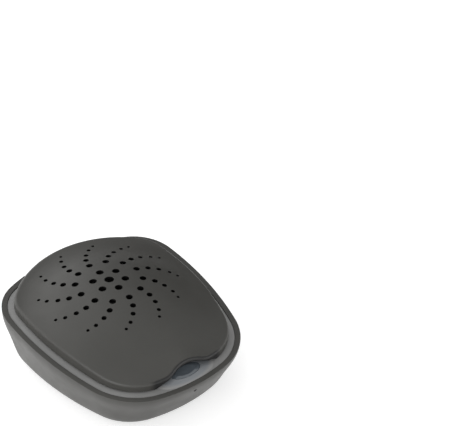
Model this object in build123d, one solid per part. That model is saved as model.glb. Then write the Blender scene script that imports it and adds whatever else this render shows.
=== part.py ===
from build123d import *
import os
from math import atan, cos, degrees, exp, radians, sin, sqrt, tan

# A table dryer for hearing aids: a wedge-shaped base that is lower at the front, a domed lid with a swirl of
# vent holes hinged at the back, a drying chamber with a UV-C lamp, and a fan and heater below the chamber.
#
# Two frames are used, both in millimetres with +X to the right and +Y to the back.
# Table frame: +Z up from the table. The written parts are in this frame.
# Deck frame: origin on the rim plane at mid-length, +Z square to that plane, which falls towards the front.

os.makedirs("parts", exist_ok=True)

# ------------------------------------------------ driving dimensions: plan outline at the rim
FRONT_RADIUS = 75.8
CORNER_RADIUS = 28.5
SIDE_RADIUS = 150.8
BACK_CORNER_RADIUS = 20.7
FRONT_TURN = 13.1  # degrees that each arc turns, from the middle of the front round to the back
CORNER_TURN = 60.6
SIDE_TURN = 21.0
BACK_CORNER_TURN = 64.7

# ------------------------------------------------ driving dimensions: base
DECK_TILT = 7.4  # slope of the rim plane, degrees
DECK_HEIGHT = 27.1  # rim plane above the table at mid-length
FOOT_PROUD = 0.8  # gap between the base shell and the table
FLOOR_THICK = 2.2
RIM_WIDTH = 2.4
# height share from the bottom plane to the rim plane, and how far the wall is drawn in there
SHELL_OUTSIDE = [(0.0, 10.2), (0.07, 8.0), (0.35, 4.7), (0.7, 1.7), (1.0, 0.0)]
SHELL_INSIDE = [(0.17, 9.0), (0.4, 6.3), (0.7, 3.9), (0.9, 2.5), (1.0, RIM_WIDTH), (1.06, RIM_WIDTH)]
FRAME_INSET = RIM_WIDTH + 0.15
SHELL_INSIDE_FLOOR_INSET = 10.8

LEDGE_TOP = -0.35  # the light ledge lies just below the rim
LEDGE_THICK = 1.85
CHAMBER_INSET = 10.5
CHAMBER_FRONT = -31.0
CHAMBER_FLOOR = -13.5
CHAMBER_WALL = 1.5

# ------------------------------------------------ driving dimensions: lid
LID_INSET = 5.4
LID_BACK_CORNER_TURN = 41.1  # under the base's, so the lid's back runs out over the rim to cover the hinge
LID_BOTTOM = 0.3
LID_SKIN = 2.0
DOME_TOP = 12.7
DOME_RADIUS_ACROSS = 97.3
DOME_RADIUS_ALONG = 114.7
BRIM_HEIGHT = 3.95  # the dome runs out into a flatter brim, this high at mid-length
BRIM_RISE = 0.65  # the brim climbs towards the back, degrees
BRIM_BLEND = 3.2  # height difference over which dome and brim run into each other
BROW_START_Y = -16.0  # from here forwards the middle of the lid bends down less, to arch over the button
BROW_SPREAD = 360.0  # the brow's height is the distance from its start, squared, over this
BROW_WIDTH = 10.0
LID_EDGE_ROUND = 1.3

VENT_CENTRE_Y = 13.3
VENT_CENTRE_HOLE = 4.2  # hole diameters, from the middle outwards
VENT_RING_HOLE = 3.4
VENT_ARM_HOLES = [3.0, 2.6, 2.2, 1.8, 1.4]
VENT_RING_RADIUS = 7.0
VENT_ARM_RADII = [14.7, 19.8, 24.0, 28.0, 30.9]
VENT_ARM_TURNS = [0.0, 5.0, 10.8, 16.9, 22.2]  # each hole of an arm lags its first one, degrees
VENT_RING_COUNT = 6
VENT_ARM_COUNT = 12

SCOOP_RADIUS = 19.5
SCOOP_DEPTH = 3.0
SCOOP_BLEND = 8.0
POD_CENTRE_Y = -53.8
POD_WALL_RADIUS = 19.8  # the lid's inner wall round the button mound
POD_ARCH_TOP = 5.0  # the lid arches over the mound
POD_ARCH_ACROSS = 30.0
POD_ARCH_ALONG = 60.0

# ------------------------------------------------ driving dimensions: lid, inside
LID_REACH = 54.0  # the lid's upper surface is worked out this far from the middle
LID_GRID = 18  # in this many steps each way
LID_VENT_BOTTOM = 3.0  # the vents are cut down to here
LINER_BOTTOM = 0.6
LINER_THICK = 1.0
LINER_INSET = 3.4  # from the lid's inner wall
LINER_BACK = 39.6
LINER_POSTS = [(-24.0, -12.0), (24.0, -12.0), (-23.0, 27.0), (23.0, 27.0)]
LINER_POST_RADIUS = 2.4
LINER_SLOT_LENGTH = 15.0
LINER_SLOT_WIDTH = 2.4
LINER_SLOT_MIDDLE = 14.0  # from the middle of the ring of slots
LINER_SLOTS_BACK = 4.0  # the ring lies this far in front of the swirl's middle

# ------------------------------------------------ driving dimensions: hinge
HINGE_Y = 44.6
HINGE_Z = 1.0
KNUCKLE_RADIUS = 2.0
LID_KNUCKLE_HALF = 7.7
FRAME_KNUCKLE_HALF = 11.0
SIDE_GAP = 0.3
HINGE_SWEEP = 5.65  # reach of the lid's back edge round the hinge line
HINGE_TROUGH_HALF = 21.5
HINGE_TROUGH_FRONT = 42.2
HINGE_TROUGH_WALL = 1.2
PIN_RADIUS = 0.8
PIN_FIT = 0.05  # round the pin in the lid's knuckle, and round the fan's shaft in its bearing
PIN_GRIP = 0.01  # round the pin in the frame's knuckles

# ------------------------------------------------ driving dimensions: magnets and small screws
MAGNETS = [(-21.0, -35.2), (21.0, -35.2)]
MAGNET_RADIUS = 2.0
MAGNET_THICK = 2.0
MAGNET_COVER = 1.0  # plastic over the frame's magnets
MAGNET_WALL_LID = 0.8
MAGNET_WALL_FRAME = 0.9
SMALL_SCREW_RADIUS = 0.8
SMALL_HEAD_HEIGHT = 0.8

# ------------------------------------------------ driving dimensions: button and its switch
BUTTON_Y = -41.6
BUTTON_HALF_LENGTH = 7.25
BUTTON_HALF_WIDTH = 3.2
BUTTON_GAP = 0.15
BUTTON_FLANGE = 0.9
BUTTON_FLANGE_THICK = 0.55
BUTTON_STEM_RADIUS = 1.6
BUTTON_DISH_DEPTH = 0.62
BUTTON_DISH_TILT = 6.6
BUTTON_DISH_ACROSS = 45.0
BUTTON_DISH_ALONG = 9.0
MOUND_TOP = 2.0
MOUND_Y = -40.0
MOUND_RADIUS_ALONG = 14.0
MOUND_RADIUS_ACROSS = 50.0
KEY_BOARD_TOP = -8.4
KEY_BOARD_THICK = 1.4
KEY_BOARD_HALF_LENGTH = 11.4
KEY_BOARD_FRONT = -43.2
KEY_BOARD_BACK = -34.2
KEY_BOARD_POSTS = [(-9.5, -36.6), (9.5, -36.6)]
SWITCH_Y = -39.2
SWITCH_SIZE = 6.0
SWITCH_HEIGHT = 2.5
PLUNGER_RADIUS = 1.5
PLUNGER_TOP = -4.9
PLUNGER_LENGTH = 1.9
PLUNGER_FIT = 0.08
LIGHT_Z = -4.5
LIGHT_Y = -44.45
LIGHT_LENGTH = 3.3
LIGHT_LEG_HALF_PITCH = 0.45
LIGHT_LEG_HALF = 0.2
LIGHT_PIPE_RADIUS = 0.75
LIGHT_PIPE_FIT = 0.05
LIGHT_PIPE_Y = -47.1
LIGHT_PIPE_LENGTH = 1.6

# ------------------------------------------------ driving dimensions: screws, posts and feet
CASE_SCREWS = [(-27.0, -17.0), (27.0, -17.0), (-27.0, 19.0), (27.0, 19.0)]
CASE_POST_TOP = 6.5
CASE_POST_RADIUS = 3.5
CASE_BOSS_RADIUS = 3.0
CASE_HOLE_RADIUS = 1.4
CASE_SHANK_RADIUS = 1.25
CASE_HEAD_RADIUS = 2.5
CASE_HEAD_DEPTH = 1.6
FEET = [(-20.0, -26.5), (20.0, -26.5), (-21.0, 29.5), (21.0, 29.5)]
FOOT_RADIUS = 4.5
FOOT_RECESS = 0.7
FOOT_ROUND = 0.4

# ------------------------------------------------ driving dimensions: chamber fittings
GRILLE_THICK = 1.2
GRILLE_ROWS = 10
GRILLE_FIRST_Y = -24.0
GRILLE_ROW_PITCH = 5.4
GRILLE_COLUMN_PITCH = 18.0
GRILLE_SLOT_LENGTH = 13.0
GRILLE_SLOT_WIDTH = 2.0
LAMP_Y = 32.3
LAMP_Z = -7.6
LAMP_RADIUS = 2.2
LAMP_WALL = 0.6
LAMP_HALF_LENGTH = 18.5
LAMP_CAP_HALF = 2.5
REFLECTOR_INSIDE = 1.2  # the reflector's radii are this much over the lamp's
REFLECTOR_OUTSIDE = 1.6
GUARD_Y = 27.4
GUARD_THICK = 1.2
GUARD_HALF_LENGTH = 28.5
GUARD_SLOT_LENGTH = 9.4
GUARD_SLOT_WIDTH = 2.6
GUARD_SLOT_PITCH = 4.6

# ------------------------------------------------ driving dimensions: heater and fan
HEATER_Y = 16.0
HEATER_THICK = 2.0
HEATER_HALF = 14.0
HEATER_BAR_HALF = 2.2
HEATER_END_HALF = 12.5
HEATER_END_THICK = 1.2
HEATER_OPENING_X = 12.0
HEATER_OPENING_Y = 11.5
FIN_REACH = 11.0
FIN_HALF = 0.2
FIN_PITCH = 2.0
FIN_SPINE = 0.6
FIN_SPINE_HALF = 12.4
FAN_Y = 18.0
FAN_SIZE = 25.0
FAN_HEIGHT = 6.0
FAN_BOTTOM = 4.0
FAN_DUCT_RADIUS = 11.7
FAN_SEAT_RADIUS = 5.4
FAN_STRUT_THICK = 0.9
FAN_HUB_RADIUS = 5.6
FAN_BLADE_RADIUS = 11.2
FAN_BLADES = 7
FAN_BLADE_ROOT_TWIST = 48
FAN_BLADE_TIP_TWIST = 62
FAN_SHAFT_RADIUS = 0.5
FAN_PAD = 10.6
INTAKE_RADIUS = 11.0
INTAKE_PITCH = 3.2
INTAKE_SLOT = 1.8

# ------------------------------------------------ driving dimensions: boards and power inlet
MAIN_BOARD_Y = -15.0
MAIN_BOARD_LENGTH = 46.0
MAIN_BOARD_WIDTH = 30.0
MAIN_BOARD_BOTTOM = 5.0
MAIN_BOARD_THICK = 1.6
MAIN_BOARD_POSTS = [(-20.0, -27.0), (20.0, -27.0), (-20.0, -3.0), (20.0, -3.0)]
# (x, y, length, width, height) of each chip
CHIPS = [(-8.0, -12.0, 7.0, 7.0, 1.0), (7.0, -17.0, 5.0, 6.2, 1.2), (13.5, -6.0, 4.6, 3.4, 1.6)]
CAPACITOR_PLACES = [(-13.0, -4.4), (-8.4, -4.4), (-3.8, -4.4)]
CAPACITOR_RADIUS = 1.9
CAPACITOR_HEIGHT = 3.6
COIL_X = 4.0
COIL_Y = -5.6
COIL_SIZE = 7.0
COIL_HEIGHT = 2.6
POWER_BOARD_BOTTOM = 6.7
POWER_BOARD_THICK = 1.2
POWER_BOARD_HALF = 9.0
POWER_BOARD_FRONT = 32.6
POWER_POST_X = 6.5
POWER_POST_Y = 35.4
SOCKET_WIDTH = 9.0
SOCKET_HEIGHT = 3.2
SOCKET_DEPTH = 7.2
SOCKET_SKIN = 0.3
SOCKET_Z = 9.5
SOCKET_MOUTH_Y = 43.4
SOCKET_TONGUE_HALF = 3.2
SOCKET_TONGUE_HALF_THICK = 0.35

# ------------------------------------------------ values worked out from the above
DECK = Location((0, 0, DECK_HEIGHT), (DECK_TILT, 0, 0))
SLOPE = tan(radians(DECK_TILT))
MID_DEPTH = (DECK_HEIGHT - FOOT_PROUD) / cos(radians(DECK_TILT))
SHELL_FLOOR_TOP = FOOT_PROUD + FLOOR_THICK
MAIN_BOARD_TOP = MAIN_BOARD_BOTTOM + MAIN_BOARD_THICK
POWER_BOARD_TOP = POWER_BOARD_BOTTOM + POWER_BOARD_THICK
HEATER_TOP = CHAMBER_FLOOR - CHAMBER_WALL
SWITCH_TOP = KEY_BOARD_TOP + SWITCH_HEIGHT
FRAME_KNUCKLE_INNER = LID_KNUCKLE_HALF + SIDE_GAP
FRAME_KNUCKLE_MIDDLE = (FRAME_KNUCKLE_HALF + FRAME_KNUCKLE_INNER) / 2
FRAME_KNUCKLE_SPAN = (FRAME_KNUCKLE_HALF - FRAME_KNUCKLE_INNER) / 2
FAR = 200.0  # larger than the object: sizes cutting tools that run past it


def outline_arcs(back_corner_turn):
    """(centre x, centre y, radius, start, turn) of the right-hand arcs, front to back, from y = 0."""
    radii = [FRONT_RADIUS, CORNER_RADIUS, SIDE_RADIUS, BACK_CORNER_RADIUS]
    turns = [FRONT_TURN, CORNER_TURN, SIDE_TURN, back_corner_turn]
    x, y, turned = 0.0, FRONT_RADIUS, 0.0
    arcs = []
    for index, (radius, turn) in enumerate(zip(radii, turns)):
        arcs.append((x, y, radius, turned, turn))
        turned += turn
        across, along = sin(radians(turned)), -cos(radians(turned))
        last = index == len(radii) - 1
        following = radius + x / across if last else radii[index + 1]
        x += (radius - following) * across
        y += (radius - following) * along
    arcs.append((0.0, y, following, turned, 180 - turned))
    return arcs


BASE_ARCS = outline_arcs(BACK_CORNER_TURN)
LENGTH = BASE_ARCS[-1][1] + BASE_ARCS[-1][2]
LID_ARCS = outline_arcs(LID_BACK_CORNER_TURN)
SCOOP_CENTRE_Y = -LENGTH / 2 + LID_INSET + SCOOP_DEPTH - SCOOP_RADIUS


def outline(inset, arcs=BASE_ARCS):
    """The plan outline as a face in the deck plane, drawn in by inset: every arc keeps its centre."""
    right, left = [], []
    for x, y, radius, start, turn in arcs:
        centre_y = y - LENGTH / 2
        right.append(CenterArc((x, centre_y), radius - inset, start - 90, turn))
        left.append(CenterArc((-x, centre_y), radius - inset, 270 - start - turn, turn))
    return Face(Wire(right + left[::-1]))


def prism(face, bottom, top):
    """The face, moved to height bottom and drawn up to height top."""
    return extrude(Pos(0, 0, bottom) * face, top - bottom, dir=(0, 0, 1))


def rod(radius, bottom, top, x=0.0, y=0.0):
    """An upright cylinder."""
    return Pos(x, y, (bottom + top) / 2) * Cylinder(radius, top - bottom)


def cross_rod(radius, half_length, y, z, x=0.0):
    """A cylinder along X."""
    return Pos(x, y, z) * Rot(0, 90, 0) * Cylinder(radius, 2 * half_length)


def block(x0, x1, y0, y1, z0, z1):
    """A box by its faces."""
    return Pos((x0 + x1) / 2, (y0 + y1) / 2, (z0 + z1) / 2) * Box(x1 - x0, y1 - y0, z1 - z0)


def disc(radius, y):
    """A round face in the deck plane, on the middle line."""
    return Pos(0, y, 0) * Circle(radius)


def barrel(top, radius_across, radius_along, y=0.0, half_length=60.0):
    """A solid whose upper side is a dome, with one radius across and another along, highest at height top."""
    reach = min(half_length, radius_along * 0.95)
    drop = radius_along - sqrt(radius_along**2 - reach**2)
    axis_z = top - radius_across
    profile = Plane.YZ * Pos(y, 0) * make_face(
        [
            ThreePointArc((-reach, top - drop), (0, top), (reach, top - drop)),
            Line((reach, top - drop), (reach, axis_z)),
            Line((reach, axis_z), (-reach, axis_z)),
            Line((-reach, axis_z), (-reach, top - drop)),
        ]
    )
    return revolve(profile, Axis((0, 0, axis_z), (0, 1, 0)), 360)


# ------------------------------------------------ base shell
def wall_section(share, inset):
    """The outline at a share of the way from the bottom plane up to the rim plane."""
    tilt = -degrees(atan((1 - share) * SLOPE))
    return Location((0, 0, -(1 - share) * MID_DEPTH), (tilt, 0, 0)) * outline(inset)


def make_base_shell():
    """Outer tub: lofted walls that draw in to the foot, an open top, and a floor with the fan's air slots."""
    outside = loft([wall_section(share, inset) for share, inset in SHELL_OUTSIDE])
    floor_level = -MID_DEPTH + FLOOR_THICK / cos(radians(DECK_TILT))
    floor_section = Location((0, 0, floor_level), (-DECK_TILT, 0, 0)) * outline(SHELL_INSIDE_FLOOR_INSET)
    inside = loft([floor_section] + [wall_section(share, inset) for share, inset in SHELL_INSIDE])
    light_bore = Rot(90, 0, 0) * Cylinder(LIGHT_PIPE_RADIUS + LIGHT_PIPE_FIT, 12)
    light_hole = Pos(0, -LENGTH / 2, LIGHT_Z) * light_bore
    shell = DECK * (outside - inside - light_hole - hinge_sweep(HINGE_SWEEP))

    for x, y in CASE_SCREWS:
        shell += rod(CASE_POST_RADIUS, SHELL_FLOOR_TOP - 0.1, CASE_POST_TOP, x, y)
        shell -= rod(CASE_HOLE_RADIUS, 0, CASE_POST_TOP + 1, x, y)
        shell -= rod(CASE_HEAD_RADIUS + 0.2, 0, FOOT_PROUD + CASE_HEAD_DEPTH, x, y)
    for x, y in MAIN_BOARD_POSTS:
        shell += rod(2.0, SHELL_FLOOR_TOP - 0.1, MAIN_BOARD_BOTTOM, x, y)
        shell -= rod(SMALL_SCREW_RADIUS, SHELL_FLOOR_TOP, MAIN_BOARD_BOTTOM + 1, x, y)
    for x in (-POWER_POST_X, POWER_POST_X):
        shell += rod(1.8, SHELL_FLOOR_TOP - 0.1, POWER_BOARD_BOTTOM, x, POWER_POST_Y)
    for x in (-FAN_PAD, FAN_PAD):
        for y in (FAN_Y - FAN_PAD, FAN_Y + FAN_PAD):
            shell += rod(1.6, SHELL_FLOOR_TOP - 0.1, FAN_BOTTOM, x, y)
    for x, y in FEET:
        shell -= rod(FOOT_RADIUS + 0.1, FOOT_PROUD - 1, FOOT_PROUD + FOOT_RECESS, x, y)

    for index in range(-3, 4):
        across = index * INTAKE_PITCH
        half = sqrt(INTAKE_RADIUS**2 - across**2)
        slot = Pos(0, FAN_Y + across, 0) * SlotOverall(2 * half, INTAKE_SLOT)
        shell -= prism(slot, FOOT_PROUD - 1, SHELL_FLOOR_TOP + 0.5)
    mouth = RectangleRounded(SOCKET_WIDTH + 1.4, SOCKET_HEIGHT + 1.4, (SOCKET_HEIGHT + 1.3) / 2)
    shell -= Pos(0, SOCKET_MOUTH_Y - 4, SOCKET_Z) * extrude(Rot(-90, 0, 0) * mouth, 12, dir=(0, 1, 0))
    return shell


def make_rubber_feet():
    """Four round pads, sunk into the floor and softly rounded where they meet the table."""
    feet = []
    for x, y in FEET:
        foot = rod(FOOT_RADIUS, 0, FOOT_PROUD + FOOT_RECESS, x, y)
        feet.append(fillet(foot.edges().group_by(Axis.Z)[0], FOOT_ROUND))
    return Compound(feet)


def make_case_screws():
    """Four screws up through the floor into the frame's bosses."""
    head, shank = FOOT_PROUD + 0.1, CASE_POST_TOP + 4
    screws = []
    for x, y in CASE_SCREWS:
        recess = rod(1.0, head - 1, head + 0.7, x, y)
        screw = rod(CASE_HEAD_RADIUS, head, FOOT_PROUD + CASE_HEAD_DEPTH, x, y)
        screw += rod(CASE_SHANK_RADIUS, head, shank, x, y)
        screws.append(screw - recess)
    return Compound(screws)


# ------------------------------------------------ inner frame: ledge, button mound, chamber tub
def chamber_plan(margin=0.0):
    """The drying chamber seen from above: the outline drawn in, cut straight at the front."""
    plan = outline(CHAMBER_INSET - margin)
    front = CHAMBER_FRONT - margin
    plan &= Pos(0, front + FAR / 2, 0) * Rectangle(FAR, FAR)
    corners = plan.vertices().sort_by(Axis.Y)[:2]
    return fillet(corners, 6.0 + margin)


def scoop_plan(gap=0.0):
    """The lid's outline with the scoop bitten out of its front: arcs only, blended into an S on each side."""
    plan = outline(LID_INSET - gap, LID_ARCS) - disc(SCOOP_RADIUS - gap, SCOOP_CENTRE_Y)
    corners = plan.vertices().sort_by(Axis.Y)
    near = [v for v in corners if abs(v.Y - corners[0].Y) < 2 and abs(v.X) < SCOOP_RADIUS]
    return fillet(near, SCOOP_BLEND + gap)


def pod_hollow():
    """The arched space in the lid over the button mound."""
    arch = barrel(POD_ARCH_TOP, POD_ARCH_ACROSS, POD_ARCH_ALONG, MOUND_Y, 20.0)
    return prism(disc(POD_WALL_RADIUS, POD_CENTRE_Y), LID_BOTTOM - 1, DOME_TOP) & arch


def mound(lower=0.0):
    """The low mound that carries the button, as a solid whose upper side is the mound's."""
    return barrel(MOUND_TOP - lower, MOUND_RADIUS_ACROSS, MOUND_RADIUS_ALONG, MOUND_Y)


def ellipse_prism(half_length, half_width, bottom, top):
    """An upright elliptical solid at the button's place."""
    return prism(Pos(0, BUTTON_Y, 0) * Ellipse(half_length, half_width), bottom, top)


def hinge_rod(radius, half_length, x=0.0):
    """A cylinder on the hinge line."""
    return cross_rod(radius, half_length, HINGE_Y, HINGE_Z, x)


def hinge_sweep(radius, half_length=HINGE_TROUGH_HALF):
    """The trough round the hinge line that the lid's back edge turns down into."""
    behind = block(-FAR, FAR, HINGE_TROUGH_FRONT, FAR, -FAR, FAR)
    return hinge_rod(radius, half_length) & behind


def make_inner_frame():
    """The light ledge round the lid, in one moulding with the button mound and the tub of the chamber."""
    ledge_bottom = LEDGE_TOP - LEDGE_THICK
    frame = prism(outline(FRAME_INSET), ledge_bottom, LEDGE_TOP)
    mound_plan = outline(FRAME_INSET) & disc(POD_WALL_RADIUS - 0.5, POD_CENTRE_Y)
    frame += prism(mound_plan, ledge_bottom, MOUND_TOP + 1) & mound()
    frame += prism(chamber_plan(CHAMBER_WALL), CHAMBER_FLOOR - CHAMBER_WALL, LEDGE_TOP)
    frame -= prism(chamber_plan(), CHAMBER_FLOOR, LEDGE_TOP + 1)
    opening = Pos(0, HEATER_Y) * Rectangle(2 * HEATER_OPENING_X, 2 * HEATER_OPENING_Y)
    frame -= prism(opening, CHAMBER_FLOOR - 5, CHAMBER_FLOOR + 1)
    half_length, half_width = BUTTON_HALF_LENGTH + BUTTON_GAP, BUTTON_HALF_WIDTH + BUTTON_GAP
    frame -= ellipse_prism(half_length, half_width, ledge_bottom - 1, MOUND_TOP + 3)

    for x, y in MAGNETS:
        frame += rod(MAGNET_RADIUS + MAGNET_WALL_FRAME, LEDGE_TOP - 3.2, ledge_bottom + 0.1, x, y)
        frame -= rod(MAGNET_RADIUS, LEDGE_TOP - 4, LEDGE_TOP - MAGNET_COVER, x, y)
    for x, y in KEY_BOARD_POSTS:
        frame += rod(1.9, KEY_BOARD_TOP, ledge_bottom + 0.1, x, y)
        frame -= rod(0.7, KEY_BOARD_TOP - 1, ledge_bottom - 1, x, y)

    frame -= hinge_sweep(HINGE_SWEEP)
    trough = hinge_sweep(HINGE_SWEEP + HINGE_TROUGH_WALL, HINGE_TROUGH_HALF + HINGE_TROUGH_WALL)
    trough -= hinge_sweep(HINGE_SWEEP)
    frame += trough & prism(outline(FRAME_INSET + 1.3), -FAR, LEDGE_TOP)
    for side in (-1, 1):
        x0, x1 = sorted((side * FRAME_KNUCKLE_INNER, side * FRAME_KNUCKLE_HALF))
        ear = hinge_rod(KNUCKLE_RADIUS, FRAME_KNUCKLE_SPAN, (x0 + x1) / 2)
        front, back = HINGE_TROUGH_FRONT - 1.6, HINGE_TROUGH_FRONT + 0.7
        ear += block(x0, x1, front, back, ledge_bottom + 0.2, HINGE_Z + 0.3)
        frame += ear
    frame -= hinge_rod(PIN_RADIUS + PIN_GRIP, FRAME_KNUCKLE_HALF + 1)
    frame = DECK * frame

    tub_bottom = DECK * prism(chamber_plan(CHAMBER_WALL), CHAMBER_FLOOR - CHAMBER_WALL + 0.1, CHAMBER_FLOOR)
    for x, y in CASE_SCREWS:
        boss = rod(CASE_BOSS_RADIUS, CASE_POST_TOP, DECK_HEIGHT, x, y)
        frame += boss - DECK * block(-FAR, FAR, -FAR, FAR, CHAMBER_FLOOR - CHAMBER_WALL + 0.1, FAR)
        frame -= rod(CASE_SHANK_RADIUS, CASE_POST_TOP - 1, CASE_POST_TOP + 4.5, x, y)
    return frame


def make_chamber_floor():
    """The grille that the hearing aids lie on, over the heater: three columns of slots."""
    plan = offset(chamber_plan(), -0.3)
    plan &= Pos(0, GUARD_Y - 0.2 - FAR / 2, 0) * Rectangle(FAR, FAR)
    for row in range(GRILLE_ROWS):
        for column in (-1, 0, 1):
            place = Pos(column * GRILLE_COLUMN_PITCH, GRILLE_FIRST_Y + row * GRILLE_ROW_PITCH)
            plan -= place * SlotOverall(GRILLE_SLOT_LENGTH, GRILLE_SLOT_WIDTH)
    return DECK * prism(plan, CHAMBER_FLOOR, CHAMBER_FLOOR + GRILLE_THICK)


# ------------------------------------------------ lamp
def make_lamp_tube():
    """A short UV-C tube along the back of the chamber."""
    tube = cross_rod(LAMP_RADIUS, LAMP_HALF_LENGTH, LAMP_Y, LAMP_Z)
    bore = cross_rod(LAMP_RADIUS - LAMP_WALL, LAMP_HALF_LENGTH - 1, LAMP_Y, LAMP_Z)
    return DECK * (tube - bore)


def make_lamp_caps():
    """Ceramic end holders, each with a foot down to the tub's floor."""
    caps = []
    for side in (-1, 1):
        middle = side * (LAMP_HALF_LENGTH + LAMP_CAP_HALF)
        cap = cross_rod(LAMP_RADIUS + 0.7, LAMP_CAP_HALF, LAMP_Y, LAMP_Z, middle)
        cap += block(middle - 2.0, middle + 2.0, LAMP_Y - 2.5, LAMP_Y + 2.5, CHAMBER_FLOOR, LAMP_Z)
        cap -= cross_rod(LAMP_RADIUS, LAMP_HALF_LENGTH, LAMP_Y, LAMP_Z)
        caps.append(cap)
    return DECK * Compound(caps)


def make_lamp_reflector():
    """A bright trough behind the tube."""
    half = LAMP_HALF_LENGTH - 0.6
    trough = cross_rod(LAMP_RADIUS + REFLECTOR_OUTSIDE, half, LAMP_Y, LAMP_Z)
    trough -= cross_rod(LAMP_RADIUS + REFLECTOR_INSIDE, LAMP_HALF_LENGTH, LAMP_Y, LAMP_Z)
    trough -= block(-FAR, FAR, LAMP_Y - 20, LAMP_Y - 0.6, LAMP_Z - 20, LAMP_Z + 20)
    foot = block(-half, half, LAMP_Y + 0.2, LAMP_Y + 2.6, CHAMBER_FLOOR, LAMP_Z)
    foot -= cross_rod(LAMP_RADIUS + REFLECTOR_INSIDE + 0.2, LAMP_HALF_LENGTH, LAMP_Y, LAMP_Z)
    trough += foot
    return DECK * trough


def make_lamp_guard():
    """A barred screen between the hearing aids and the lamp."""
    half = GUARD_HALF_LENGTH
    guard = block(-half, half, GUARD_Y, GUARD_Y + GUARD_THICK, CHAMBER_FLOOR, LEDGE_TOP - 1.0)
    slot = Rot(0, 0, 90) * SlotOverall(GUARD_SLOT_LENGTH, GUARD_SLOT_WIDTH)
    for index in range(-5, 6):
        bar_gap = Plane.XZ * Pos(index * GUARD_SLOT_PITCH, LAMP_Z + 0.2) * slot
        guard -= Pos(0, GUARD_Y - 1, 0) * extrude(bar_gap, 4, dir=(0, 1, 0))
    return DECK * guard


# ------------------------------------------------ heater below the chamber floor
def make_heater_plate():
    """The heating element: a flat bar between two packs of fins, with end plates that meet the tub."""
    bottom = HEATER_TOP - HEATER_THICK
    low_y, high_y = HEATER_Y - HEATER_BAR_HALF, HEATER_Y + HEATER_BAR_HALF
    bar = block(-HEATER_HALF, HEATER_HALF, low_y, high_y, bottom, HEATER_TOP)
    for side in (-1, 1):
        x0, x1 = sorted((side * (HEATER_HALF - HEATER_END_THICK), side * HEATER_HALF))
        bar += block(x0, x1, HEATER_Y - HEATER_END_HALF, HEATER_Y + HEATER_END_HALF, bottom, HEATER_TOP)
    return DECK * bar


def make_heater_fins():
    """Two packs of thin upright fins on a spine, one each side of the heating bar."""
    packs = []
    bottom = HEATER_TOP - HEATER_THICK
    for side in (-1, 1):
        near, far = side * HEATER_BAR_HALF, side * FIN_REACH
        y0, y1 = sorted((HEATER_Y + near, HEATER_Y + far))
        spine_y0, spine_y1 = sorted((HEATER_Y + near, HEATER_Y + near + side * FIN_SPINE))
        pack = block(-FIN_SPINE_HALF, FIN_SPINE_HALF, spine_y0, spine_y1, bottom, HEATER_TOP - 0.1)
        for index in range(-6, 7):
            x = index * FIN_PITCH
            pack += block(x - FIN_HALF, x + FIN_HALF, y0, y1, bottom, HEATER_TOP - 0.1)
        packs.append(pack)
    return DECK * Compound(packs)


def make_temperature_sensor():
    """A small sensor stuck to the underside of the tub."""
    body = block(15.6, 19.6, HEATER_Y - 1.5, HEATER_Y + 1.5, HEATER_TOP - 1.4, HEATER_TOP)
    return DECK * fillet(body.edges().filter_by(Axis.Z), 0.6)


# ------------------------------------------------ fan on the floor, in the table frame
def make_fan_housing():
    """Square frame with a round duct, and a motor seat on three struts with the shaft's bearing."""
    top = FAN_BOTTOM + FAN_HEIGHT
    housing = prism(Pos(0, FAN_Y) * RectangleRounded(FAN_SIZE, FAN_SIZE, 2.0), FAN_BOTTOM, top)
    housing -= rod(FAN_DUCT_RADIUS, FAN_BOTTOM - 1, top + 1, 0, FAN_Y)
    housing += rod(FAN_SEAT_RADIUS, FAN_BOTTOM, FAN_BOTTOM + FAN_STRUT_THICK, 0, FAN_Y)
    for index in range(3):
        strut = Rot(0, 0, 90 + index * 120) * Pos(8.5, 0, 0) * Box(7.0, 1.6, FAN_STRUT_THICK)
        housing += Pos(0, FAN_Y, FAN_BOTTOM + FAN_STRUT_THICK / 2) * strut
    housing += rod(3.6, FAN_BOTTOM, FAN_BOTTOM + 3.2, 0, FAN_Y)
    housing -= rod(FAN_SHAFT_RADIUS + PIN_FIT, FAN_BOTTOM + 0.4, FAN_BOTTOM + 4, 0, FAN_Y)
    for x in (-FAN_PAD, FAN_PAD):
        for y in (FAN_Y - FAN_PAD, FAN_Y + FAN_PAD):
            housing -= rod(0.9, FAN_BOTTOM + 1, top + 1, x, y)
    return housing


def make_fan_impeller():
    """Hub cup with seven twisted blades, each lofted from a steep root to a flatter tip."""
    low, high = FAN_BOTTOM + 1.4, FAN_BOTTOM + FAN_HEIGHT - 0.3
    hub = rod(FAN_HUB_RADIUS, low, high, 0, FAN_Y)
    hub -= rod(FAN_HUB_RADIUS - 1.0, low - 1, high - 0.9, 0, FAN_Y)
    middle = (low + high) / 2
    root_place = Location((FAN_HUB_RADIUS - 0.4, 0, middle), (0, 90, 0))
    root = root_place * Rot(0, 0, FAN_BLADE_ROOT_TWIST) * Rectangle(0.6, 4.0)
    tip_place = Location((FAN_BLADE_RADIUS, 0, middle), (0, 90, 0))
    tip = tip_place * Rot(0, 0, FAN_BLADE_TIP_TWIST) * Rectangle(0.5, 5.0)
    blade = loft([root, tip], ruled=True)
    impeller = hub
    for index in range(FAN_BLADES):
        impeller += Pos(0, FAN_Y, 0) * Rot(0, 0, index * 360 / FAN_BLADES) * blade
    impeller = impeller & rod(FAN_BLADE_RADIUS, low, high, 0, FAN_Y)
    return impeller - rod(FAN_SHAFT_RADIUS, low - 1, high - 0.3, 0, FAN_Y)


def make_fan_shaft():
    """The impeller's axle, set in its hub and running in the housing's bearing."""
    return rod(FAN_SHAFT_RADIUS, FAN_BOTTOM + 0.6, FAN_BOTTOM + FAN_HEIGHT - 0.6, 0, FAN_Y)


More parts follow.
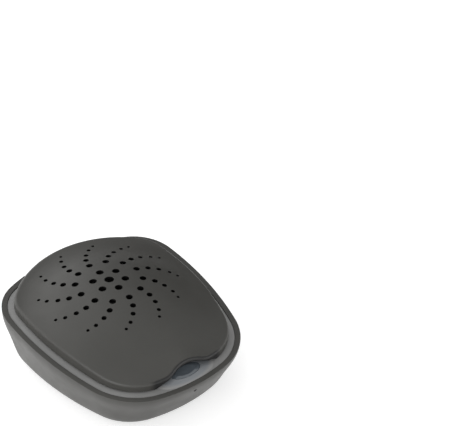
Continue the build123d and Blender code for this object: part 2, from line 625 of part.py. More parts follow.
# ------------------------------------------------ boards and their parts
def make_main_board():
    """Control board under the front of the chamber."""
    plan = Pos(0, MAIN_BOARD_Y) * RectangleRounded(MAIN_BOARD_LENGTH, MAIN_BOARD_WIDTH, 2.0)
    board = prism(plan, MAIN_BOARD_BOTTOM, MAIN_BOARD_TOP)
    for x, y in MAIN_BOARD_POSTS:
        board -= rod(0.9, 0, 20, x, y)
    return board


def make_board_chips():
    """Controller, lamp driver and regulator on the top of the main board."""
    chips = []
    for x, y, length, width, height in CHIPS:
        x0, x1, y0, y1 = x - length / 2, x + length / 2, y - width / 2, y + width / 2
        chips.append(block(x0, x1, y0, y1, MAIN_BOARD_TOP, MAIN_BOARD_TOP + height))
    return Compound(chips)


def make_board_capacitors():
    """Three small upright cans at the back edge of the board, where the tub leaves most height."""
    top = MAIN_BOARD_TOP + CAPACITOR_HEIGHT
    return Compound([rod(CAPACITOR_RADIUS, MAIN_BOARD_TOP, top, x, y) for x, y in CAPACITOR_PLACES])


def make_board_coil():
    """The lamp driver's coil: a square core with a round well."""
    top = MAIN_BOARD_TOP + COIL_HEIGHT
    core = prism(Pos(COIL_X, COIL_Y) * RectangleRounded(COIL_SIZE, COIL_SIZE, 1.2), MAIN_BOARD_TOP, top)
    well = rod(2.7, top - 0.8, top + 0.4, COIL_X, COIL_Y)
    return core - well + rod(1.5, top - 0.9, top, COIL_X, COIL_Y)


def make_main_board_screws():
    """Four small screws through the main board into the floor's posts."""
    screws = []
    for x, y in MAIN_BOARD_POSTS:
        head = rod(1.5, MAIN_BOARD_TOP, MAIN_BOARD_TOP + SMALL_HEAD_HEIGHT, x, y)
        screws.append(head + rod(SMALL_SCREW_RADIUS, SHELL_FLOOR_TOP + 0.3, MAIN_BOARD_TOP + 0.4, x, y))
    return Compound(screws)


def make_key_board():
    """Small board under the button."""
    half, underside = KEY_BOARD_HALF_LENGTH, KEY_BOARD_TOP - KEY_BOARD_THICK
    board = block(-half, half, KEY_BOARD_FRONT, KEY_BOARD_BACK, underside, KEY_BOARD_TOP)
    board = fillet(board.edges().filter_by(Axis.Z), 1.5)
    for x, y in KEY_BOARD_POSTS:
        board -= rod(0.9, KEY_BOARD_TOP - 3, KEY_BOARD_TOP + 1, x, y)
    return DECK * board


def make_key_board_screws():
    """Two small screws up through the key board into the frame's posts."""
    screws = []
    underside = KEY_BOARD_TOP - KEY_BOARD_THICK
    for x, y in KEY_BOARD_POSTS:
        head = rod(1.4, underside - SMALL_HEAD_HEIGHT, underside, x, y)
        screws.append(head + rod(0.7, underside - 0.4, KEY_BOARD_TOP + 3.6, x, y))
    return DECK * Compound(screws)


def make_key_switch():
    """The body of the push switch, with the well that its plunger runs in."""
    half = SWITCH_SIZE / 2
    body = block(-half, half, SWITCH_Y - half, SWITCH_Y + half, KEY_BOARD_TOP, SWITCH_TOP)
    well = rod(PLUNGER_RADIUS + PLUNGER_FIT, KEY_BOARD_TOP + 0.7, SWITCH_TOP + 1, 0, SWITCH_Y)
    return DECK * (body - well)


def make_switch_plunger():
    """The switch's round plunger, just under the button's stem."""
    return DECK * rod(PLUNGER_RADIUS, PLUNGER_TOP - PLUNGER_LENGTH, PLUNGER_TOP, 0, SWITCH_Y)


def make_status_light():
    """A small lamp on bent legs, pointing forwards at the pinhole."""
    light = Pos(0, LIGHT_Y, LIGHT_Z) * Rot(90, 0, 0) * Cylinder(LIGHT_PIPE_RADIUS, LIGHT_LENGTH)
    for x in (-LIGHT_LEG_HALF_PITCH, LIGHT_LEG_HALF_PITCH):
        x0, x1 = x - LIGHT_LEG_HALF, x + LIGHT_LEG_HALF
        light += block(x0, x1, KEY_BOARD_FRONT + 0.1, KEY_BOARD_FRONT + 0.5, KEY_BOARD_TOP, LIGHT_Z)
    return DECK * light


def make_light_pipe():
    """The clear plug in the pinhole, a little below the wall's face."""
    pipe = Rot(90, 0, 0) * Cylinder(LIGHT_PIPE_RADIUS, LIGHT_PIPE_LENGTH)
    return DECK * Pos(0, LIGHT_PIPE_Y, LIGHT_Z) * pipe


def make_lid_sensor():
    """The sensor that feels the lid's magnet, so that the lamp goes out when the lid opens."""
    return DECK * block(6.2, 9.0, -43.0, -41.4, KEY_BOARD_TOP, KEY_BOARD_TOP + 1.0)


def make_power_board():
    """Small board that carries the power socket."""
    half, back = POWER_BOARD_HALF, SOCKET_MOUTH_Y - 3.2
    return block(-half, half, POWER_BOARD_FRONT, back, POWER_BOARD_BOTTOM, POWER_BOARD_TOP)


def make_power_socket():
    """A flat oval socket shell with its tongue, facing backwards."""
    inner_end = SOCKET_MOUTH_Y - SOCKET_DEPTH
    corner = SOCKET_HEIGHT / 2 - 0.05
    outside = Rot(-90, 0, 0) * RectangleRounded(SOCKET_WIDTH, SOCKET_HEIGHT, corner)
    inner_width, inner_height = SOCKET_WIDTH - 2 * SOCKET_SKIN, SOCKET_HEIGHT - 2 * SOCKET_SKIN
    hollow = RectangleRounded(inner_width, inner_height, corner - SOCKET_SKIN)
    shell = Pos(0, inner_end, SOCKET_Z) * extrude(outside, SOCKET_DEPTH, dir=(0, 1, 0))
    bore = extrude(Rot(-90, 0, 0) * hollow, SOCKET_DEPTH, dir=(0, 1, 0))
    shell -= Pos(0, inner_end + 1.0, SOCKET_Z) * bore
    low, high = SOCKET_Z - SOCKET_TONGUE_HALF_THICK, SOCKET_Z + SOCKET_TONGUE_HALF_THICK
    half, mouth_end = SOCKET_TONGUE_HALF, SOCKET_MOUTH_Y - 0.9
    return shell + block(-half, half, inner_end + 0.5, mouth_end, low, high)


# ------------------------------------------------ button
def make_start_button():
    """Elliptical key: a dished face flush with the mound, a flange that holds it in, a stem to the switch."""
    underside = LEDGE_TOP - LEDGE_THICK - BUTTON_GAP
    key = ellipse_prism(BUTTON_HALF_LENGTH, BUTTON_HALF_WIDTH, underside, MOUND_TOP + 1)
    key &= mound(0.05)
    bowl = Rot(180, 0, 0) * barrel(0, BUTTON_DISH_ACROSS, BUTTON_DISH_ALONG, 0, 8.0)
    key -= Pos(0, BUTTON_Y, MOUND_TOP - BUTTON_DISH_DEPTH) * Rot(BUTTON_DISH_TILT, 0, 0) * bowl
    half_length, half_width = BUTTON_HALF_LENGTH + BUTTON_FLANGE, BUTTON_HALF_WIDTH + BUTTON_FLANGE
    key += ellipse_prism(half_length, half_width, underside - BUTTON_FLANGE_THICK, underside)
    return DECK * (key + rod(BUTTON_STEM_RADIUS, PLUNGER_TOP + 0.05, underside, 0, SWITCH_Y))


# ------------------------------------------------ lid
def vent_places():
    """(x, y, diameter) of every vent hole of the swirl."""
    places = [(0.0, 0.0, VENT_CENTRE_HOLE)]
    for index in range(VENT_RING_COUNT):
        turn = radians(30 + index * 360 / VENT_RING_COUNT)
        places.append((VENT_RING_RADIUS * cos(turn), VENT_RING_RADIUS * sin(turn), VENT_RING_HOLE))
    for arm in range(VENT_ARM_COUNT):
        for radius, lag, hole in zip(VENT_ARM_RADII, VENT_ARM_TURNS, VENT_ARM_HOLES):
            turn = radians(arm * 360 / VENT_ARM_COUNT - lag)
            places.append((radius * cos(turn), radius * sin(turn), hole))
    return places


def lid_height(x, y):
    """Height of the lid's upper side: a dome that runs out into the brim, and the brow over the button."""
    along = DOME_RADIUS_ALONG - sqrt(DOME_RADIUS_ALONG**2 - y**2)
    across = DOME_RADIUS_ACROSS - along
    dome = DOME_TOP - DOME_RADIUS_ACROSS + sqrt(across**2 - x**2)
    brim = BRIM_HEIGHT + tan(radians(BRIM_RISE)) * y
    share = min(1.0, max(0.0, 0.5 + 0.5 * (dome - brim) / BRIM_BLEND))
    brow = min(0.0, y - BROW_START_Y) ** 2 / BROW_SPREAD * exp(-((x / BROW_WIDTH) ** 2))
    return dome * share + brim * (1 - share) + BRIM_BLEND * share * (1 - share) + brow


def lid_top():
    """A solid whose upper side is the lid's, worked out from its heights on a grid."""
    steps = range(-LID_GRID, LID_GRID + 1)
    step = LID_REACH / LID_GRID
    points = [[(i * step, j * step, lid_height(i * step, j * step)) for j in steps] for i in steps]
    surface = Face.make_surface_from_array_of_points([[Vector(*point) for point in row] for row in points])
    return extrude(surface, 30, dir=(0, 0, -1))


def make_lid_shell():
    """Domed shell: rounded edge, scoop at the front, arched pod over the mound, vents, hinge knuckle."""
    dome = lid_top()
    inner_dome = barrel(DOME_TOP - LID_SKIN, DOME_RADIUS_ACROSS - LID_SKIN, DOME_RADIUS_ALONG - LID_SKIN)
    mid_skin = barrel(DOME_TOP - LID_SKIN / 2, DOME_RADIUS_ACROSS, DOME_RADIUS_ALONG)
    lid = prism(scoop_plan(), LID_BOTTOM, DOME_TOP + 1) & dome
    lid = fillet(lid.faces().sort_by(Axis.Z)[-1].edges(), LID_EDGE_ROUND)

    hollow_plan = outline(LID_INSET + LID_SKIN, LID_ARCS) - disc(POD_WALL_RADIUS + 1.6, POD_CENTRE_Y)
    lid -= prism(hollow_plan, LID_BOTTOM - 1, DOME_TOP + 1) & inner_dome
    lid -= pod_hollow()

    for x, y in LINER_POSTS:
        lid += rod(LINER_POST_RADIUS, LINER_BOTTOM + LINER_THICK, DOME_TOP, x, y) & mid_skin
        lid -= rod(SMALL_SCREW_RADIUS, 0, LINER_BOTTOM + LINER_THICK + 4.0, x, y)
    for x, y in MAGNETS:
        lid += rod(MAGNET_RADIUS + MAGNET_WALL_LID, LID_BOTTOM, DOME_TOP, x, y) & mid_skin
        lid -= rod(MAGNET_RADIUS, 0, LID_BOTTOM + MAGNET_THICK, x, y)

    swirl = Sketch()
    for x, y, hole in vent_places():
        swirl += Pos(x, y + VENT_CENTRE_Y) * Circle(hole / 2)
    lid -= prism(swirl, LID_VENT_BOTTOM, DOME_TOP + 1)

    for side in (-1, 1):
        span = FRAME_KNUCKLE_SPAN + SIDE_GAP
        lid -= hinge_rod(KNUCKLE_RADIUS + SIDE_GAP, span, side * FRAME_KNUCKLE_MIDDLE)
    lid += hinge_rod(KNUCKLE_RADIUS, LID_KNUCKLE_HALF)
    return DECK * (lid - hinge_rod(PIN_RADIUS + PIN_FIT, FRAME_KNUCKLE_HALF))


def make_lid_liner():
    """Inner plate of the lid, with a ring of slots that lets the air through to the vents."""
    plan = outline(LID_INSET + LID_SKIN + LINER_INSET) - disc(POD_WALL_RADIUS + 2.0, POD_CENTRE_Y)
    plan &= Pos(0, LINER_BACK - FAR / 2, 0) * Rectangle(FAR, FAR)
    for x, y in MAGNETS:
        plan -= Pos(x, y) * Circle(MAGNET_RADIUS + 1.3)
    for index in range(VENT_ARM_COUNT):
        turn = (index + 0.5) * 360 / VENT_ARM_COUNT
        place = Pos(0, VENT_CENTRE_Y - LINER_SLOTS_BACK) * Rot(0, 0, turn) * Pos(LINER_SLOT_MIDDLE, 0)
        plan -= place * SlotOverall(LINER_SLOT_LENGTH, LINER_SLOT_WIDTH)
    for x, y in LINER_POSTS:
        plan -= Pos(x, y) * Circle(0.9)
    room = barrel(DOME_TOP - LID_SKIN - 0.1, DOME_RADIUS_ACROSS - LID_SKIN, DOME_RADIUS_ALONG - LID_SKIN)
    return DECK * (prism(plan, LINER_BOTTOM, LINER_BOTTOM + LINER_THICK) & room)


def make_liner_screws():
    """Four small screws that hold the liner."""
    screws = []
    for x, y in LINER_POSTS:
        head = rod(1.7, LINER_BOTTOM - SMALL_HEAD_HEIGHT, LINER_BOTTOM, x, y)
        screws.append(head + rod(SMALL_SCREW_RADIUS, LINER_BOTTOM - 0.4, LINER_BOTTOM + 4.6, x, y))
    return DECK * Compound(screws)


def make_lid_magnets():
    """Two small magnets in the lid's front corners."""
    low = LID_BOTTOM
    return DECK * Compound([rod(MAGNET_RADIUS, low, low + MAGNET_THICK, x, y) for x, y in MAGNETS])


def make_frame_magnets():
    """The two magnets under the ledge that pull the lid's magnets down and hold it shut."""
    high = LEDGE_TOP - MAGNET_COVER
    return DECK * Compound([rod(MAGNET_RADIUS, high - MAGNET_THICK, high, x, y) for x, y in MAGNETS])


def make_hinge_pin():
    """Steel pin through both knuckles of the frame and the lid's between them."""
    return DECK * hinge_rod(PIN_RADIUS, FRAME_KNUCKLE_HALF - 0.3)


NODES = {
    "base_shell": make_base_shell,
    "inner_frame": make_inner_frame,
    "chamber_floor": make_chamber_floor,
    "lamp_tube": make_lamp_tube,
    "lamp_caps": make_lamp_caps,
    "lamp_reflector": make_lamp_reflector,
    "lamp_guard": make_lamp_guard,
    "heater_plate": make_heater_plate,
    "heater_fins": make_heater_fins,
    "temperature_sensor": make_temperature_sensor,
    "fan_housing": make_fan_housing,
    "fan_impeller": make_fan_impeller,
    "fan_shaft": make_fan_shaft,
    "main_board": make_main_board,
    "board_chips": make_board_chips,
    "board_capacitors": make_board_capacitors,
    "board_coil": make_board_coil,
    "main_board_screws": make_main_board_screws,
    "key_board": make_key_board,
    "key_board_screws": make_key_board_screws,
    "key_switch": make_key_switch,
    "switch_plunger": make_switch_plunger,
    "status_light": make_status_light,
    "light_pipe": make_light_pipe,
    "lid_sensor": make_lid_sensor,
    "power_board": make_power_board,
    "power_socket": make_power_socket,
    "start_button": make_start_button,
    "lid_shell": make_lid_shell,
    "lid_liner": make_lid_liner,
    "liner_screws": make_liner_screws,
    "lid_magnets": make_lid_magnets,
    "frame_magnets": make_frame_magnets,
    "hinge_pin": make_hinge_pin,
    "case_screws": make_case_screws,
    "rubber_feet": make_rubber_feet,
}

for node, make in NODES.items():
    shape = make()
    size = shape.bounding_box().size
    print(f"{node:20s} volume {shape.volume:9.1f}  size {size.X:6.2f} {size.Y:6.2f} {size.Z:6.2f}")
    export_step(shape, f"parts/{node}.step")
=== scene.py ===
import math

import bpy
from mathutils import Matrix, Vector

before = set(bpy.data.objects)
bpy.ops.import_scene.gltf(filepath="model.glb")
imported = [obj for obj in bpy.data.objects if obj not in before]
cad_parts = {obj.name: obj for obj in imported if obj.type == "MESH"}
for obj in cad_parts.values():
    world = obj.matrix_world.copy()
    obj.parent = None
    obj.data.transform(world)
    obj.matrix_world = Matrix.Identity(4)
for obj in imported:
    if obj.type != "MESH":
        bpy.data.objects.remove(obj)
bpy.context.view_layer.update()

# A table dryer for hearing aids. Everything is in metres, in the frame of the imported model:
# +Z up from the table, +Y to the hinge, the front with the button towards -Y.
# The deck is the plane of the base's rim. It falls towards the front.
MM = 0.001
DECK_TILT = math.radians(7.4)
DECK_HEIGHT = 27.1 * MM  # at mid-length
DECK = Matrix.Translation((0, 0, DECK_HEIGHT)) @ Matrix.Rotation(DECK_TILT, 4, "X")

# ------------------------------------------------ spots on the deck where shade is painted into the colour
VENTS_Y = 13.3 * MM
VENTS_REACH = 32.3 * MM
SCOOP_Y = -44 * MM
SCOOP_REACH = 16 * MM
MOUND_Y = -42 * MM
MOUND_REACH = 16 * MM

# ------------------------------------------------ colours, linear
CHARCOAL = (0.056, 0.055, 0.05, 1)
CHARCOAL_WORN = (0.09, 0.089, 0.083, 1)
# painted shade: near black in the bores of the lid's vents
VENT_PAINTED_SHADE = (0.004, 0.004, 0.004, 1)
# painted shade: near black on the lid's edge in the scoop
SCOOP_PAINTED_SHADE = (0.008, 0.008, 0.008, 1)
LEDGE_GREY = (0.3, 0.3, 0.296, 1)
LEDGE_WORN = (0.4, 0.4, 0.4, 1)
# painted shade: a darker, slightly bluish copy of the ledge grey on the mound
MOUND_PAINTED_SHADE = (0.215, 0.228, 0.242, 1)
SMOKY_BLUE = (0.105, 0.123, 0.14, 1)
SMOKY_WORN = (0.17, 0.19, 0.21, 1)
BLACK_PLASTIC = (0.03, 0.03, 0.032, 1)
BLACK_WORN = (0.07, 0.07, 0.07, 1)
CERAMIC = (0.75, 0.73, 0.68, 1)
CERAMIC_WORN = (0.85, 0.83, 0.78, 1)
RED_PLASTIC = (0.5, 0.05, 0.035, 1)
RED_WORN = (0.6, 0.15, 0.1, 1)
RUBBER = (0.02, 0.02, 0.02, 1)
RUBBER_WORN = (0.05, 0.05, 0.05, 1)
STEEL = (0.62, 0.61, 0.58, 1)
NICKEL = (0.72, 0.7, 0.66, 1)
ALUMINIUM = (0.7, 0.7, 0.71, 1)
BRIGHT_ALUMINIUM = (0.86, 0.86, 0.87, 1)
QUARTZ = (0.86, 0.92, 1.0, 1)
DARK_CLEAR = (0.006, 0.006, 0.005, 1)
BOARD_GREENS = (0.008, 0.07, 0.03, 1), (0.012, 0.09, 0.04, 1)
TRACK_GREEN = (0.03, 0.2, 0.08, 1)
PAPER_WHITES = (0.8, 0.8, 0.8, 1), (0.82, 0.82, 0.82, 1)
WHITE = (1, 1, 1, 1)

# ------------------------------------------------ light
WORLD_LEVEL = 0.64
WORLD_DIM = 0.03  # the world's level on its dim side
DIM_SIDE_EDGE = math.radians(27)  # the dim side starts this far right of the back
GLOW_SIDE = (-0.2, 0.85, 0.45)
GLOW_LEVEL = 1.0
FLOOR_GLOW = 0.58
FLOOR_HALF = 3.0
SOFTBOXES = [  # name, place, width, height, watts
    ("low_left", (-0.95, -0.35, 0.3), 0.9, 0.4, 4.0),
    ("low_right", (0.5, -0.9, 0.08), 0.8, 0.16, 1.2),
]

# ------------------------------------------------ camera
CAMERA_PLACE = (-0.3191, -0.4697, 0.4516)
CAMERA_AZIMUTH = math.radians(-38.95)
CAMERA_ELEVATION = math.radians(33.27)
CAMERA_ROLL = math.radians(-0.54)
CAMERA_LENS = 125.35
SENSOR_WIDTH = 36.0


# ------------------------------------------------ node building blocks
class Graph:
    """The nodes of a material or a world, with short calls for the ones used here."""

    def __init__(self, owner):
        owner.use_nodes = True
        self.owner = owner
        self.tree = owner.node_tree

    def put(self, socket, value):
        """Link the socket to another one, or give it a value of its own. None leaves it alone."""
        if isinstance(value, bpy.types.NodeSocket):
            self.tree.links.new(value, socket)
        elif value is not None:
            socket.default_value = value

    def add(self, kind, values=(), **settings):
        """A new node, whose first inputs get the values in turn."""
        node = self.tree.nodes.new(kind)
        for key, value in settings.items():
            setattr(node, key, value)
        for place, value in enumerate(values):
            self.put(node.inputs[place], value)
        return node

    def maths(self, operation, first, second):
        return self.add("ShaderNodeMath", [first, second], operation=operation).outputs[0]

    def dot(self, first, second):
        return self.add("ShaderNodeVectorMath", [first, second], operation="DOT_PRODUCT").outputs["Value"]

    def ranged(self, source, low, high, from_low=0.0, from_high=1.0, **settings):
        """The source value mapped from one range to another, and held within it."""
        values = [source, from_low, from_high, low, high]
        return self.add("ShaderNodeMapRange", values, **settings).outputs["Result"]


class Surface(Graph):
    """A material with its Principled shader, and patterns placed in the object's own metres."""

    def __init__(self, name):
        super().__init__(bpy.data.materials.new(name))
        self.shader = self.tree.nodes["Principled BSDF"]
        self.place = self.add("ShaderNodeTexCoord").outputs["Object"]

    def set(self, **values):
        """Link or set the shader's inputs, which are named with _ for each space."""
        for key, value in values.items():
            self.put(self.shader.inputs[key.replace("_", " ")], value)

    def noise(self, feature, detail=2.0, roughness=0.5, place=None):
        """Noise whose lumps are about feature metres wide."""
        node = self.add("ShaderNodeTexNoise")
        self.put(node.inputs["Scale"], 1 / feature)
        self.put(node.inputs["Detail"], detail)
        self.put(node.inputs["Roughness"], roughness)
        self.put(node.inputs["Vector"], place or self.place)
        return node.outputs["Fac"]

    def mixed(self, share, first, second):
        """A colour between two others."""
        node = self.add("ShaderNodeMix", data_type="RGBA")
        self.put(node.inputs["Factor"], share)
        self.put(node.inputs["A"], first)
        self.put(node.inputs["B"], second)
        return node.outputs["Result"]

    def rounded(self, radius):
        """Normals rounded over sharp edges."""
        return self.add("ShaderNodeBevel", [radius], samples=6).outputs["Normal"]

    def edges(self, rounded_normal, reach):
        """1 on sharp edges, 0 elsewhere."""
        plain_normal = self.add("ShaderNodeNewGeometry").outputs["Normal"]
        return self.ranged(self.dot(rounded_normal, plain_normal), 1.0, 0.0, 1.0 - reach, 1.0)

    def bump(self, height, depth, normal=None):
        """Normals bent by a height pattern that stands depth metres proud."""
        node = self.add("ShaderNodeBump")
        self.put(node.inputs["Strength"], 1.0)
        self.put(node.inputs["Distance"], depth)
        self.put(node.inputs["Height"], height)
        self.put(node.inputs["Normal"], normal)
        return node.outputs["Normal"]

    def on_deck(self):
        """Place measured from the deck's middle, as separate X, Y and Z."""
        to_deck = [self.place, DECK.inverted().translation, (-DECK_TILT, 0, 0)]
        mapping = self.add("ShaderNodeMapping", to_deck)
        return self.add("ShaderNodeSeparateXYZ", [mapping.outputs["Vector"]]).outputs

    def upright(self):
        """How far a face looks up from the deck: 1 up, 0 sideways, -1 down."""
        normal = self.add("ShaderNodeTexCoord").outputs["Normal"]
        return self.dot(normal, DECK.to_3x3() @ Vector((0, 0, 1)))

    def near(self, along_deck, radius, soft):
        """1 within radius of the line square to the deck at X 0 and Y along_deck; 0 beyond radius + soft."""
        place = self.on_deck()
        along = self.maths("SUBTRACT", place["Y"], along_deck)
        squares = [self.maths("MULTIPLY", part, part) for part in (place["X"], along)]
        away = self.maths("SQRT", self.maths("ADD", *squares), 0.0)
        return self.ranged(away, 1.0, 0.0, radius, radius + soft)


# ------------------------------------------------ materials
def moulded(name, colour, worn, roughness, grain=0.25 * MM, depth=0.004 * MM, edge=0.18 * MM, wear=0.5,
            painted_shade_places=(), **more):
    """Moulded plastic: fine spark texture, slow change of tone and gloss, and rubbed edges.

    Each of painted_shade_places is a function that gives the share of a painted shade colour, and that
    colour.
    """
    g = Surface(name)
    normal = g.rounded(edge)
    rub = g.maths("MULTIPLY", g.edges(normal, 0.12), g.ranged(g.noise(4 * MM, 3.0), 0.0, wear, 0.35, 0.65))
    darker = tuple(0.93 * c for c in colour[:3]) + (1,)
    lighter = tuple(min(1.0, 1.07 * c) for c in colour[:3]) + (1,)
    tone = g.mixed(g.ranged(g.noise(22 * MM, 3.0), 0, 1, 0.3, 0.7), darker, lighter)
    tone = g.mixed(rub, tone, worn)
    # painted shade: each listed spot darkens the tone where shade falls
    for share_of, other in painted_shade_places:
        tone = g.mixed(share_of(g), tone, other)
    gloss = g.ranged(g.noise(9 * MM, 4.0), roughness - 0.04, roughness + 0.04, 0.3, 0.7)
    g.set(Base_Color=tone, Roughness=gloss, Normal=g.bump(g.noise(grain, 2.0, 0.6), depth, normal), **more)
    return g.owner


def metal(name, colour, roughness, brushed=0.0):
    """Plated or drawn metal with fine scratches along X and slight tarnish."""
    g = Surface(name)
    stretched = g.add("ShaderNodeMapping", [g.place, None, None, (1, 12, 12)]).outputs["Vector"]
    streaks = g.noise(1.5 * MM, 4.0, 0.6, stretched)
    dull = tuple(0.82 * c for c in colour[:3]) + (1,)
    tarnish = g.ranged(g.noise(3 * MM, 3.0), 0, 1, 0.35, 0.65)
    g.set(Metallic=1.0, Base_Color=g.mixed(tarnish, colour, dull))
    g.set(Roughness=g.ranged(streaks, roughness - 0.05, roughness + 0.08, 0.3, 0.7))
    g.set(Normal=g.bump(streaks, 0.002 * MM + brushed, g.rounded(0.08 * MM)))
    return g.owner


def lamp_glass():
    """Quartz tube: clear, a little blue, with a trace of haze."""
    g = Surface("quartz_glass")
    g.set(Base_Color=QUARTZ, Transmission_Weight=0.92, IOR=1.46)
    g.set(Roughness=g.ranged(g.noise(2 * MM, 3.0), 0.03, 0.12, 0.35, 0.7))
    g.set(Normal=g.bump(g.noise(1.2 * MM, 2.0), 0.003 * MM))
    return g.owner


def tinted_clear():
    """The dark clear plug of the pinhole and the status light's body."""
    g = Surface("tinted_clear")
    g.set(Base_Color=DARK_CLEAR, Coat_Weight=0.2, Coat_Roughness=0.1)
    g.set(Roughness=g.ranged(g.noise(0.5 * MM), 0.25, 0.4, 0.3, 0.7))
    g.set(Normal=g.bump(g.noise(0.2 * MM), 0.003 * MM, g.rounded(0.1 * MM)))
    return g.owner


def board_lacquer():
    """Green solder mask over copper tracks that run in steps."""
    g = Surface("board_lacquer")
    tracks = g.add("ShaderNodeTexBrick")
    g.put(tracks.inputs["Scale"], 1 / (2.4 * MM))
    g.put(tracks.inputs["Mortar Size"], 0.09)
    g.put(tracks.inputs["Mortar Smooth"], 0.2)
    g.put(tracks.inputs["Vector"], g.place)
    broken = g.ranged(g.noise(5 * MM, 1.0), 0.0, 1.0, 0.47, 0.53)
    share = g.maths("MULTIPLY", tracks.outputs["Fac"], broken)
    weave = g.noise(0.35 * MM, 2.0)
    base = g.mixed(g.ranged(weave, 0, 1, 0.3, 0.7), *BOARD_GREENS)
    g.set(Base_Color=g.mixed(share, base, TRACK_GREEN), Coat_Weight=0.4, Coat_Roughness=0.15)
    g.set(Roughness=g.ranged(weave, 0.3, 0.42, 0.3, 0.7))
    height = g.maths("ADD", share, g.maths("MULTIPLY", weave, 0.15))
    g.set(Normal=g.bump(height, 0.03 * MM, g.rounded(0.1 * MM)))
    return g.owner


def painted_shade_in_vents(g):
    """The bores of the lid's swirl of holes, painted black as painted shade for the dark inside them."""
    steep = g.ranged(g.upright(), 1.0, 0.0, 0.55, 0.8)
    return g.maths("MULTIPLY", g.near(VENTS_Y, VENTS_REACH, 0.4 * MM), steep)


def painted_shade_in_scoop(g):
    """The lid's upright edge in the thumb scoop, smooth, painted near black as painted shade."""
    steep = g.ranged(g.upright(), 1.0, 0.0, 0.82, 0.95)
    return g.maths("MULTIPLY", g.near(SCOOP_Y, SCOOP_REACH, 3 * MM), steep)


def painted_shade_on_mound(g):
    """The raised part of the ledge round the start button, painted in a darker, slightly bluish copy of the
    ledge grey as painted shade.
    """
    raised = g.ranged(g.on_deck()["Z"], 0.0, 1.0, -0.1 * MM, 0.5 * MM)
    return g.maths("MULTIPLY", g.near(MOUND_Y, MOUND_REACH, 4 * MM), raised)


DRESS = [  # a material, and the nodes that wear it
    (moulded("charcoal_shell", CHARCOAL, CHARCOAL_WORN, 0.44), ["base_shell"]),
    # painted shade on the lid: the vents' bores and the scoop's edge
    (moulded("charcoal_lid", CHARCOAL, CHARCOAL_WORN, 0.44, wear=0.15,
             painted_shade_places=[(painted_shade_in_vents, VENT_PAINTED_SHADE), (painted_shade_in_scoop, SCOOP_PAINTED_SHADE)]), ["lid_shell"]),
    # painted shade on the frame: the mound round the button
    (moulded("grey_frame", LEDGE_GREY, LEDGE_WORN, 0.36, depth=0.002 * MM, painted_shade_places=[(painted_shade_on_mound, MOUND_PAINTED_SHADE)]),
     ["inner_frame", "chamber_floor", "lamp_guard"]),
    (moulded("smoky_key", SMOKY_BLUE, SMOKY_WORN, 0.16, depth=0.001 * MM, Coat_Weight=1.0,
             Coat_Roughness=0.04), ["start_button"]),
    (moulded("black_parts", BLACK_PLASTIC, BLACK_WORN, 0.5),
     ["lid_liner", "temperature_sensor", "fan_housing", "fan_impeller", "board_chips", "board_coil",
      "key_switch", "lid_sensor"]),
    (moulded("ceramic", CERAMIC, CERAMIC_WORN, 0.3), ["lamp_caps"]),
    (moulded("plunger_plastic", RED_PLASTIC, RED_WORN, 0.35), ["switch_plunger"]),
    (moulded("foot_rubber", RUBBER, RUBBER_WORN, 0.75, 0.4 * MM, 0.02 * MM), ["rubber_feet"]),
    (metal("screw_steel", STEEL, 0.3),
     ["power_socket", "liner_screws", "main_board_screws", "key_board_screws", "case_screws", "hinge_pin",
      "fan_shaft"]),
    (metal("magnet_plate", NICKEL, 0.18), ["lid_magnets", "frame_magnets"]),
    (metal("heater_metal", ALUMINIUM, 0.38, brushed=0.003 * MM), ["heater_plate", "heater_fins"]),
    (metal("bright_sheet", BRIGHT_ALUMINIUM, 0.14), ["lamp_reflector", "board_capacitors"]),
    (lamp_glass(), ["lamp_tube"]),
    (tinted_clear(), ["status_light", "light_pipe"]),
    (board_lacquer(), ["main_board", "key_board", "power_board"]),
]
for material, names in DRESS:
    for name in names:
        worn_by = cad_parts[name].data.materials
        worn_by.clear()
        worn_by.append(material)


# ------------------------------------------------ floor, light and camera
def put_in_scene(name, data):
    thing = bpy.data.objects.new(name, data)
    bpy.context.scene.collection.objects.link(thing)
    return thing


def make_floor():
    """A wide pale floor, white to the camera and to mirrors, with the object's shadow on it."""
    mesh = bpy.data.meshes.new("floor")
    corners = [(x * FLOOR_HALF, y * FLOOR_HALF, 0) for x, y in ((-1, -1), (1, -1), (1, 1), (-1, 1))]
    mesh.from_pydata(corners, [], [(0, 1, 2, 3)])
    floor = put_in_scene("floor", mesh)
    g = Surface("floor_paper")
    g.set(Base_Color=g.mixed(g.noise(20 * MM), *PAPER_WHITES), Roughness=0.9, Specular_IOR_Level=0.1)
    rays = g.add("ShaderNodeLightPath").outputs
    seen = g.maths("MAXIMUM", rays["Is Camera Ray"], rays["Is Glossy Ray"])
    glow = g.add("ShaderNodeEmission", [None, g.maths("MULTIPLY", seen, FLOOR_GLOW)]).outputs["Emission"]
    both = g.add("ShaderNodeAddShader", [g.shader.outputs["BSDF"], glow]).outputs["Shader"]
    g.put(g.tree.nodes["Material Output"].inputs["Surface"], both)
    mesh.materials.append(g.owner)


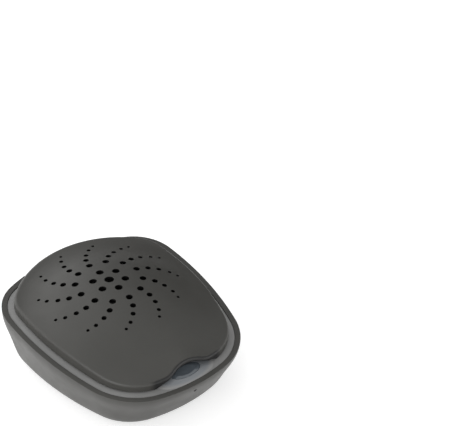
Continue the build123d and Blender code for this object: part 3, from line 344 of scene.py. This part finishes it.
def make_world():
    """Soft white light from all round, brighter behind and dim at the back right, low down.

    The camera and glass see plain white.
    """
    world = bpy.data.worlds.new("studio")
    bpy.context.scene.world = world
    g = Graph(world)
    direction = g.add("ShaderNodeTexCoord").outputs["Generated"]
    parts = g.add("ShaderNodeSeparateXYZ", [direction]).outputs
    across = g.dot(direction, (math.cos(DIM_SIDE_EDGE), -math.sin(DIM_SIDE_EDGE), 0))
    smooth = {"interpolation_type": "SMOOTHSTEP"}
    right = g.ranged(across, 0.0, 1.0, -0.12, 0.12, **smooth)
    behind = g.ranged(parts["Y"], 0.0, 1.0, 0.0, 0.35, **smooth)
    low = g.ranged(parts["Z"], 1.0, 0.0, 0.55, 0.9, **smooth)
    dim = g.maths("MULTIPLY", g.maths("MULTIPLY", right, behind), low)
    level = g.ranged(dim, WORLD_LEVEL, WORLD_DIM, **smooth)
    towards_glow = g.dot(direction, Vector(GLOW_SIDE).normalized())
    level = g.maths("ADD", level, g.ranged(towards_glow, 0.0, GLOW_LEVEL, 0.6, 1.0, **smooth))
    rays = g.add("ShaderNodeLightPath").outputs
    seen = g.maths("MAXIMUM", rays["Is Camera Ray"], rays["Is Transmission Ray"])
    background = g.tree.nodes["Background"]
    g.put(background.inputs["Color"], WHITE)
    g.put(background.inputs["Strength"], g.add("ShaderNodeMix", [seen, None, level, 1.0]).outputs["Result"])


def make_softbox(name, place, width, height, power):
    """An area lamp that points at the object."""
    lamp = bpy.data.lights.new(name, "AREA")
    lamp.shape = "RECTANGLE"
    lamp.size = width
    lamp.size_y = height
    lamp.energy = power
    box = put_in_scene(name, lamp)
    box.location = place
    box.rotation_mode = "QUATERNION"
    box.rotation_quaternion = (-Vector(place)).to_track_quat("-Z", "Y")


def make_camera():
    """The camera at the photograph's viewpoint."""
    camera = put_in_scene("camera", bpy.data.cameras.new("camera"))
    camera.data.lens = CAMERA_LENS
    camera.data.sensor_width = SENSOR_WIDTH
    camera.data.clip_start = 0.01
    camera.data.clip_end = 20.0
    turn = Matrix.Rotation(CAMERA_AZIMUTH, 4, "Z") @ Matrix.Rotation(math.pi / 2 - CAMERA_ELEVATION, 4, "X")
    camera.matrix_world = Matrix.Translation(CAMERA_PLACE) @ turn @ Matrix.Rotation(CAMERA_ROLL, 4, "Z")
    bpy.context.scene.camera = camera


make_floor()
make_world()
for softbox in SOFTBOXES:
    make_softbox(*softbox)
make_camera()
bpy.context.scene.view_settings.view_transform = "Standard"
